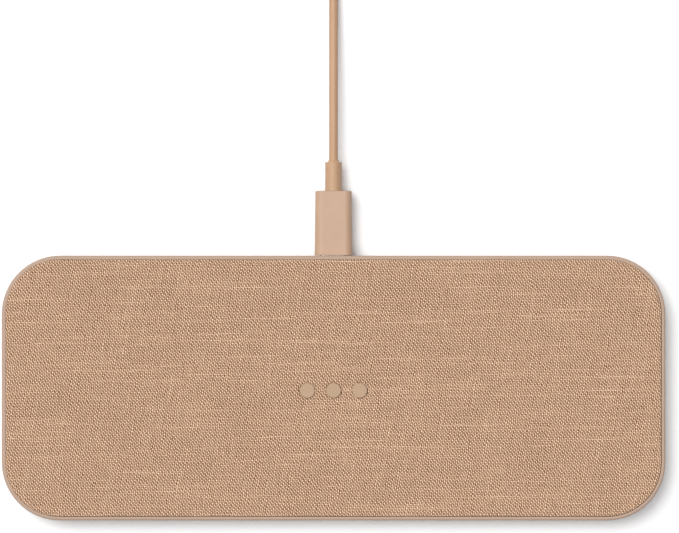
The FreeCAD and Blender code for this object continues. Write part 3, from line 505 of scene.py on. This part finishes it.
def wire(name, points, radius, resolution, sides):
    """Round cord on one open NURBS spline with these control points."""
    curve = bpy.data.curves.new(name, "CURVE")
    curve.dimensions = "3D"
    curve.bevel_depth = radius
    curve.bevel_resolution = sides
    curve.use_fill_caps = True
    spline = curve.splines.new("NURBS")
    spline.points.add(len(points) - 1)
    for point, place in zip(spline.points, points):
        point.co = (*place, 1.0)
    spline.order_u = 3
    spline.use_endpoint_u = True
    spline.resolution_u = resolution
    item = bpy.data.objects.new(name, curve)
    bpy.context.collection.objects.link(item)
    return item


def span(node):
    """Middle and half size of a CAD node's box."""
    low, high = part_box(node)
    return (low + high) / 2, (high - low) / 2


# ---- top panel --------------------------------------------------------------

STUD_PITCH = 7.8 * MM
STUD_HOLE = 4.6 * MM          # around studs of 4.5 mm
HOLE_SHIFT = Vector((0.04, -0.04, 0)) * MM     # the cloth's holes sit a little off the studs
LINEN_THICK = 0.5 * MM
LINEN_ROLL = 0.3 * MM
LINEN_STEP = 1.5 * MM
HEM = 4.0 * MM
SEAM_FILL = 0.10 * MM         # the nap of the cloth fills part of the seam
PANEL_SHIFT = Vector((-0.05, 0.05, 0)) * MM    # the panel sits against the rim at the left and the back
PANEL_RADIUS = 16.1 * MM      # of the panel's corners in plan
SWELLS = [(90, 0.03 * MM), (420, 0.012 * MM)]  # unevenness of the cloth: noise scale per metre, and height


def stud_centres():
    """Middle of each marker stud."""
    middle, _ = span("marker_studs")
    return [Vector((middle.x + i * STUD_PITCH, middle.y, middle.z)) for i in (-1, 0, 1)]


def cut_stud_holes(item, offset=(0, 0, 0)):
    """Cut the three holes that the marker studs stand in."""
    cutters = []
    for i, centre in enumerate(stud_centres()):
        mesh = bmesh.new()
        bmesh.ops.create_cone(mesh, cap_ends=True, segments=48, radius1=STUD_HOLE / 2, radius2=STUD_HOLE / 2,
                              depth=20 * MM)
        cutter = object_from(mesh, "stud_cutter_%d" % i)
        cutter.location = centre + Vector(offset)
        cut = item.modifiers.new("stud_hole_%d" % i, "BOOLEAN")
        cut.operation = "DIFFERENCE"
        cut.solver = "EXACT"
        cut.object = cutter
        cutters.append(cutter)
    apply_modifiers(item)
    for cutter in cutters:
        bpy.data.objects.remove(cutter)


def cloth_coordinates(data, half, top_z):
    """Flat place on the cloth of each vertex, in millimetres: the sides count as cloth beyond the edge.

    The third number is how far the cloth has turned down, from 0 on top to 1 on the sides.
    """
    flat = data.attributes.new("cloth", "FLOAT_VECTOR", "POINT")
    inner_x, inner_y = half.x - PANEL_RADIUS, half.y - PANEL_RADIUS
    for vertex, value in zip(data.vertices, flat.data):
        place = vertex.co
        core = Vector((max(-inner_x, min(inner_x, place.x)), max(-inner_y, min(inner_y, place.y))))
        away = Vector((place.x, place.y)) - core
        drop = top_z - place.z
        if away.length > 1e-6 and away.length > PANEL_RADIUS - 2 * LINEN_ROLL:
            away = away * (1 + drop / away.length)
        turned = min(1.0, max(0.0, drop / LINEN_ROLL))
        value.vector = ((core.x + away.x) * 1000, (core.y + away.y) * 1000, turned)


def make_linen():
    """Linen stretched over the panel, rolled round its edge and hemmed underneath."""
    low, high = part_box("linen_cover")
    half = (high - low) / 2 + Vector((SEAM_FILL, SEAM_FILL, 0))
    profile = [(HEM, low.z)]
    profile += steps_to(HEM, low.z, LINEN_ROLL, LINEN_STEP)
    profile += roll(LINEN_ROLL, low.z + LINEN_ROLL, LINEN_ROLL, -90, 0)[1:]
    profile += roll(LINEN_ROLL, high.z - LINEN_ROLL, LINEN_ROLL, 0, 90, 6)
    profile += steps_to(LINEN_ROLL, high.z, PANEL_RADIUS, LINEN_STEP)
    mesh = slab(half.x, half.y, PANEL_RADIUS, profile, LINEN_STEP, caps=[-1])
    for vertex in mesh.verts:
        place = vertex.co
        swell = sum(noise.noise(place * scale) * height for scale, height in SWELLS)
        # the top swells up and down, and the sides in and out; the hem stays flat
        if place.z > high.z - 0.1 * MM:
            vertex.co.z += swell
        elif place.z > low.z + 0.4 * MM:
            vertex.co += Vector((place.x / half.x, place.y / half.y, 0)) * swell
    item = object_from(mesh, "linen")
    cloth = item.modifiers.new("thickness", "SOLIDIFY")
    cloth.thickness = LINEN_THICK
    cloth.offset = -1.0
    cut_stud_holes(item, HOLE_SHIFT - PANEL_SHIFT)
    cloth_coordinates(item.data, half, high.z)
    item.location = PANEL_SHIFT
    put(item, "pad", "linen", linen_material(), "linen_cover")


# ---- lead -------------------------------------------------------------------

LEAD_RADIUS = 1.325 * MM
TURN_PITCH = 2.7 * MM
TIE_THICK = 0.5 * MM
TIE_COLUMNS = 7               # points across the strap
BEND_STEPS = 12
END_SHARES = {1: 0.86, 0: 0.45}        # width of the strap's last two rows, which round off its end
POINTS_PER_TURN = 24
LOW_TURNS = 6
HIGH_TURNS = 5
NESTED = 0.866                # rise to turns that lie in the grooves of the turns below, in pitches
CROSSING = 0.75               # share of a turn after which the lead crosses to the next one
CROSSING_RISE = 0.4 * MM      # how far it arches up as it crosses, above the lower turns
CLIMB = 0.45                  # share of the last lower turn after which it climbs to the upper ones
# distance behind the strain relief, and share of the drop to the lower turns
RUN_SAG = [(0, 0.0), (9, 0.0), (25, 0.11), (42, 0.48), (58, 0.90)]
# degrees round the coil, distance outside its outer turn, height above its lower turns
TAIL_WRAP = [(0, 1.6, 2.4), (30, 3.0, 1.1), (60, 3.5, 0.0), (90, 3.5, -0.4)]
# steps along -X and -Y from the end of the wrap
TAIL_STEPS = [(13, 0.4), (25, 2.6), (36, 6.2)]


def ease(value, start, end):
    """0 before start, 1 after end, and a smooth step between them."""
    share = max(0.0, min(1.0, (value - start) / (end - start)))
    return 0.5 - 0.5 * math.cos(math.pi * share)


def coil_points(middle, outer, low_z):
    """Two layers of turns: inwards on the table, then back out on top of them."""
    high_z = low_z + NESTED * TURN_PITCH
    inner = outer - (LOW_TURNS - 1) * TURN_PITCH
    points = []
    for step in range((LOW_TURNS + HIGH_TURNS) * POINTS_PER_TURN):
        turn, part = divmod(step / POINTS_PER_TURN, 1.0)
        across = ease(part, CROSSING, 1.0)
        hump = CROSSING_RISE * math.sin(math.pi * max(0.0, part - CROSSING) / (1 - CROSSING))
        if turn < LOW_TURNS - 1:
            radius, z = outer - (turn + across) * TURN_PITCH, low_z
        elif turn < LOW_TURNS:
            climb = ease(part, CLIMB, CROSSING)
            radius, z = inner + across * TURN_PITCH / 2, low_z + climb * (high_z - low_z) + hump
        else:
            radius, z = inner + (turn - LOW_TURNS + 0.5 + across) * TURN_PITCH, high_z + hump
        angle = 2 * math.pi * part
        points.append(Vector((middle.x + radius * math.cos(angle), middle.y + radius * math.sin(angle), z)))
    return points


def lead_points():
    """Route of the whole lead: straight run, coil, wrap and tail."""
    start, _ = span("plug_strain_relief")
    start.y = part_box("plug_strain_relief")[1].y
    middle, half = span("cable_coil")
    outer, low_z = half.x - LEAD_RADIUS, TIE_THICK + LEAD_RADIUS
    points = [start + Vector((0, along * MM, -share * (start.z - low_z))) for along, share in RUN_SAG]
    points.append(Vector((start.x, middle.y - math.sqrt(half.x ** 2 - outer ** 2), low_z)))
    points += coil_points(middle, outer, low_z)
    for degrees, outside, above in TAIL_WRAP:
        angle, reach = math.radians(degrees), outer + outside * MM
        points.append(Vector((middle.x + reach * math.cos(angle), middle.y + reach * math.sin(angle),
                              low_z + above * MM)))
    last, far_z = points[-1], span("far_plug_strain_relief")[0].z
    for (back, aside), height in zip(TAIL_STEPS, (last.z, far_z, far_z)):
        points.append(Vector((last.x - back * MM, last.y - aside * MM, height)))
    return points


def make_lead():
    """Free lead from the plug to the far plug, with its spare length coiled."""
    points = lead_points()
    item = wire("lead", points, LEAD_RADIUS, resolution=6, sides=6)
    put(item, "cable", "cable_jacket", jacket_material(), "cable_run", "cable_coil", "cable_tail")
    ends = [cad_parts[prefix + piece] for prefix in ("plug_", "far_plug_")
            for piece in ("shell", "insulator", "overmould", "card", "strain_relief")]
    ends + [make_tie()]


def jacket_material():
    """Soft elastomer jacket, slightly uneven in gloss."""
    return moulded("cable_jacket", JACKET, 0.5, grain=14.0, depth=0.00001)


def make_tie():
    """Hook-and-loop strap round the coiled turns, its end lapped on top."""
    middle, half = span("cable_tie")
    corner = half.z - TIE_THICK
    flat = half.x - TIE_THICK - corner

    def bend(side, start):
        """Half circle round the turns at one side."""
        angles = [math.radians(start + 180 * i / BEND_STEPS) for i in range(BEND_STEPS + 1)]
        return [(side * flat + corner * math.cos(angle), corner * math.sin(angle)) for angle in angles]

    path = [(0.35 * flat, corner)] + bend(-1, 90) + bend(1, -90)
    # the end laps over the start
    path += [(0.8 * flat, corner + 0.1 * MM), (0.35 * flat, corner + 0.45 * MM), (0.0, corner + 0.55 * MM),
             (-0.45 * flat, corner + 0.6 * MM)]
    mesh = bmesh.new()
    rows = []
    for index, (x, z) in enumerate(path):
        left = len(path) - 1 - index
        narrow = END_SHARES.get(left, 1.0)
        row = []
        for j in range(TIE_COLUMNS):
            y = (2 * j / (TIE_COLUMNS - 1) - 1) * half.y * narrow
            row.append(mesh.verts.new((middle.x + x, middle.y + y, middle.z + z)))
        rows.append(row)
    for a, b in zip(rows, rows[1:]):
        for j in range(TIE_COLUMNS - 1):
            mesh.faces.new((a[j], a[j + 1], b[j + 1], b[j]))
    bmesh.ops.recalc_face_normals(mesh, faces=mesh.faces)
    item = object_from(mesh, "tie_strap", 60)
    shell = item.modifiers.new("thickness", "SOLIDIFY")
    shell.thickness = TIE_THICK
    shell.offset = 1.0
    soften = item.modifiers.new("soft_edges", "BEVEL")
    soften.width = 0.12 * MM
    soften.segments = 2
    apply_modifiers(item)
    return put(item, "cable", "tie_strap", strap_material(), "cable_tie")


def strap_material():
    """Woven loop pile of a hook-and-loop strap."""
    graph = Graph("tie_strap")
    graph.set(**{"Roughness": 0.95, "Sheen Weight": 0.5, "Sheen Roughness": 0.4, "Specular IOR Level": 0.2})
    where = graph.position()
    loops = graph.noise(where, 5.0, 4.0, 0.75)
    rows = graph.noise(where, 1.2, 2.0)
    shade = graph.add(graph.spread(loops, 0.72, 1.28), graph.spread(rows, -0.08, 0.08))
    graph.colour(graph.scale_colour(STRAP, shade))
    graph.bump(loops, 0.00012)
    return graph.material


# ---- charging coils ---------------------------------------------------------

LITZ_RADIUS = 0.43 * MM
LITZ_PITCH = 0.92 * MM
COIL_HOLE = 10.25 * MM        # radius of the open middle of a coil
STEPS_PER_TURN = 40


def litz_material():
    """Twisted bundle of enamelled copper strands, seen along the winding."""
    graph = Graph("litz_copper")
    graph.set(Metallic=0.85)
    x, y, _ = graph.split(graph.position())
    angle = graph.math("ARCTAN2", y, x)
    reach = graph.math("SQRT", graph.add(graph.times(x, x), graph.times(y, y)))
    twist = graph.add(graph.times(graph.times(angle, reach), 5.0), graph.times(reach, 16.0))
    strands = graph.spread(graph.math("SINE", twist), 0.5, 1.0)
    tint = graph.spread(graph.noise(graph.position(), 1.5, 3.0), 0.85, 1.1)
    graph.colour(graph.scale_colour((0.72, 0.30, 0.13), graph.times(strands, tint)))
    graph.rough(graph.spread(strands, 0.45, 0.25))
    graph.bump(strands, 0.00004)
    return graph.material


def make_coils():
    """Flat spiral of litz wire at each charging site."""
    material = litz_material()
    for side in ("left", "right"):
        node = "coil_" + side
        middle, half = span(node)
        outer, inner = half.x - LITZ_RADIUS, COIL_HOLE + LITZ_RADIUS
        count = int((outer - inner) / LITZ_PITCH * STEPS_PER_TURN)
        points = []
        for i in range(count + 1):
            angle = 2 * math.pi * i / STEPS_PER_TURN
            radius = inner + (outer - inner) * i / count
            points.append(Vector((radius * math.cos(angle), radius * math.sin(angle), 0)))
        item = wire("winding_" + side, points, LITZ_RADIUS, resolution=2, sides=3)
        item.location = middle
        put(item, "pad", "litz_copper", material, node)


# ---- other materials --------------------------------------------------------

HOUSING = (0.361, 0.250, 0.182)
JACKET = (0.410, 0.246, 0.143)
GRIP = (0.414, 0.269, 0.182)
RELIEF = (0.414, 0.254, 0.148)
STUD = (0.378, 0.252, 0.161)
STRAP = (0.260, 0.175, 0.120)


def laminate_material():
    """Circuit board: solder mask over copper tracks, with glass weave in the gloss."""
    graph = Graph("board_laminate")
    where = graph.position()
    x, y, _ = graph.split(where)
    column = graph.math("FLOOR", graph.math("DIVIDE", x, 2.4))
    line = graph.math("FLOOR", graph.math("DIVIDE", y, 3.1))
    cell = graph.join(column, line)
    turned = graph.math("GREATER_THAN", graph.cell_random(cell), 0.5)
    lanes_x = graph.math("SINE", graph.times(x, 7.9))
    lanes_y = graph.math("SINE", graph.times(y, 7.9))
    mixed = graph.add(graph.times(lanes_x, turned), graph.times(lanes_y, graph.minus(1.0, turned)))
    tracks = graph.math("GREATER_THAN", mixed, 0.35)
    glass = graph.noise(where, 4.0, 2.0)
    shade = graph.add(graph.spread(tracks, 0.75, 1.25), graph.spread(glass, -0.08, 0.08))
    graph.colour(graph.scale_colour((0.012, 0.085, 0.040), shade))
    graph.rough(graph.spread(glass, 0.28, 0.42))
    graph.bump(tracks, 0.00003)
    return graph.material


def pressed_metal(name, colour, roughness):
    """Pressed or rolled sheet, its streaks along X and Z."""
    return metal(name, colour, roughness, stretch=(1.0, 12.0, 1.0))


def clear_material():
    """Clear acrylic light pipe with faint drag marks."""
    graph = Graph("light_pipe_clear")
    graph.set(**{"Transmission Weight": 0.9, "IOR": 1.49})
    where = graph.position()
    marks = graph.noise(where, 3.0, 3.0)
    graph.colour(graph.scale_colour((0.95, 0.93, 0.90), graph.spread(marks, 0.94, 1.0)))
    graph.rough(graph.spread(marks, 0.05, 0.20))
    graph.bump(marks, 0.00001)
    return graph.material


def foam_material():
    """Open-cell foam skin."""
    graph = Graph("foam")
    where = graph.position()
    cells = graph.nodes.new("ShaderNodeTexVoronoi")
    graph.links.new(where, cells.inputs["Vector"])
    cells.inputs["Scale"].default_value = 2.6
    pores = cells.outputs["Distance"]
    graph.colour(graph.scale_colour((0.62, 0.59, 0.53), graph.spread(pores, 0.7, 1.2)))
    graph.rough(graph.spread(pores, 0.8, 1.0))
    graph.bump(pores, 0.00015)
    return graph.material


def make_foam():
    """Thin foam sheet under the linen, its edge a little crushed."""
    low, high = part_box("foam_backing")
    half = (high - low) / 2
    edge = (high.z - low.z) / 2
    radius = PANEL_RADIUS - LINEN_THICK
    profile = steps_to(radius, low.z, edge, 3 * MM)
    profile += roll(edge, low.z + edge, edge, -90, 90, 6)[1:]
    profile += steps_to(edge, high.z, radius, 3 * MM)
    mesh = slab(half.x, half.y, radius, [(radius, low.z)] + profile, 3 * MM, caps=[0, -1])
    item = object_from(mesh, "foam_sheet")
    cut_stud_holes(item)
    put(item, "pad", "foam", foam_material(), "foam_backing")


def node_materials():
    """Material of each CAD node that stays as it is."""
    housing = moulded("housing_plastic", HOUSING, 0.55, grain=9.0, depth=0.000012, vary=0.05)
    silicone = moulded("stud_silicone", STUD, 0.6, grain=10.0, depth=0.00001, specular=0.3)
    cover = moulded("cover_plastic", (0.23, 0.155, 0.11), 0.6, grain=5.0, depth=0.00004)
    foot = moulded("foot_silicone", (0.20, 0.135, 0.095), 0.75, grain=3.0, depth=0.00006)
    plate = moulded("plate_plastic", (0.045, 0.045, 0.047), 0.5, grain=4.0, vary=0.15)
    screws = metal("screw_steel", (0.42, 0.41, 0.40), 0.32)
    ferrite = moulded("ferrite", (0.045, 0.045, 0.048), 0.42, grain=5.0, depth=0.00003, vary=0.2)
    shield = pressed_metal("shield_aluminium", (0.80, 0.80, 0.81), 0.30)
    leads = moulded("lead_insulation", (0.50, 0.47, 0.42), 0.45, grain=8.0)
    board = laminate_material()
    epoxy = moulded("chip_epoxy", (0.022, 0.022, 0.024), 0.5, grain=12.0, vary=0.25)
    ceramic = moulded("capacitor_ceramic", (0.42, 0.30, 0.19), 0.35, grain=6.0, vary=0.15)
    inductor = moulded("inductor_ferrite", (0.10, 0.10, 0.105), 0.6, grain=7.0, depth=0.00004, vary=0.2)
    can = pressed_metal("crystal_can", (0.75, 0.74, 0.72), 0.22)
    led = moulded("led_body", (0.80, 0.79, 0.74), 0.3, grain=6.0)
    port = pressed_metal("port_steel", (0.62, 0.61, 0.60), 0.24)
    tongue = moulded("port_insulator", (0.035, 0.035, 0.038), 0.45, grain=8.0, vary=0.2)
    plug = pressed_metal("plug_steel", (0.70, 0.69, 0.68), 0.20)
    insulator = moulded("plug_insulator", (0.040, 0.040, 0.042), 0.45, grain=8.0, vary=0.2)
    grip = moulded("overmould", GRIP, 0.5, grain=12.0, depth=0.00001)
    relief = moulded("strain_relief", RELIEF, 0.5, grain=12.0, depth=0.00001)
    card = moulded("card_laminate", (0.02, 0.09, 0.05), 0.4, grain=5.0)
    table = {
        "housing_frame": housing, "marker_studs": silicone, "bottom_cover": cover, "foot_sheet": foot,
        "top_plate": plate, "cover_screws": screws, "board_screws": screws, "circuit_board": board,
        "charging_controllers": epoxy, "power_delivery_chip": epoxy, "bridge_transistors": epoxy,
        "resonant_capacitors": ceramic, "input_capacitors": ceramic, "power_inductor": inductor,
        "clock_crystal": can, "status_leds": led, "light_pipes": clear_material(), "port_shell": port,
        "port_tongue": tongue,
    }
    for side in ("left", "right"):
        table.update({"ferrite_" + side: ferrite, "shield_" + side: shield, "thermistor_" + side: epoxy,
                      "coil_leads_" + side: leads})
    for prefix in ("plug_", "far_plug_"):
        table.update({prefix + "shell": plug, prefix + "insulator": insulator, prefix + "overmould": grip,
                      prefix + "card": card, prefix + "strain_relief": relief})
    return table


def dress_nodes():
    """Give each CAD node that still shows its material."""
    for node, material in node_materials().items():
        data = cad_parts[node].data
        if not data.materials:
            data.materials.append(material)
        for index in range(len(data.materials)):
            data.materials[index] = material


make_camera()
make_lead()
make_linen()
make_foam()
make_coils()
dress_nodes()
make_light()
make_floor()
bpy.context.scene.view_settings.view_transform = "Standard"
